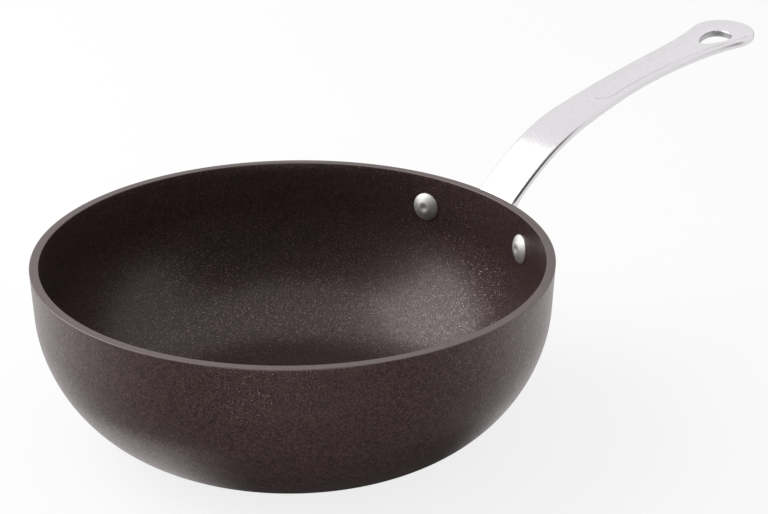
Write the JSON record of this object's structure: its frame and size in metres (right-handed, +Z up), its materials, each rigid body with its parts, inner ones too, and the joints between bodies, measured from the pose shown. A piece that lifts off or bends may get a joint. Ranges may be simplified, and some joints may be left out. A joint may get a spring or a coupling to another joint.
{
  "type": "wok",
  "caption": "Flat-based stir-fry wok: a deep round bowl with a near-upright wall, and a long curved metal handle riveted to its side.",
  "frame": {"origin": "centre of the flat base, on the bowl's axis, at the surface that the wok stands on", "axes": "+Z up along the bowl's axis, +X from the bowl's axis along the handle"},
  "size_m": [0.4178, 0.24, 0.1365],
  "materials": {
    "bowl_coating": "dark brown non-stick coating with fine metallic flecks over aluminium, turned grey rim",
    "handle_steel": "polished cast stainless steel",
    "rivet_steel": "satin stainless steel"
  },
  "bodies": {
    "root": {"bowl": "bowl_coating", "handle": "handle_steel", "rivet_left": "rivet_steel", "rivet_right": "rivet_steel"}
  },
  "joints": []
}
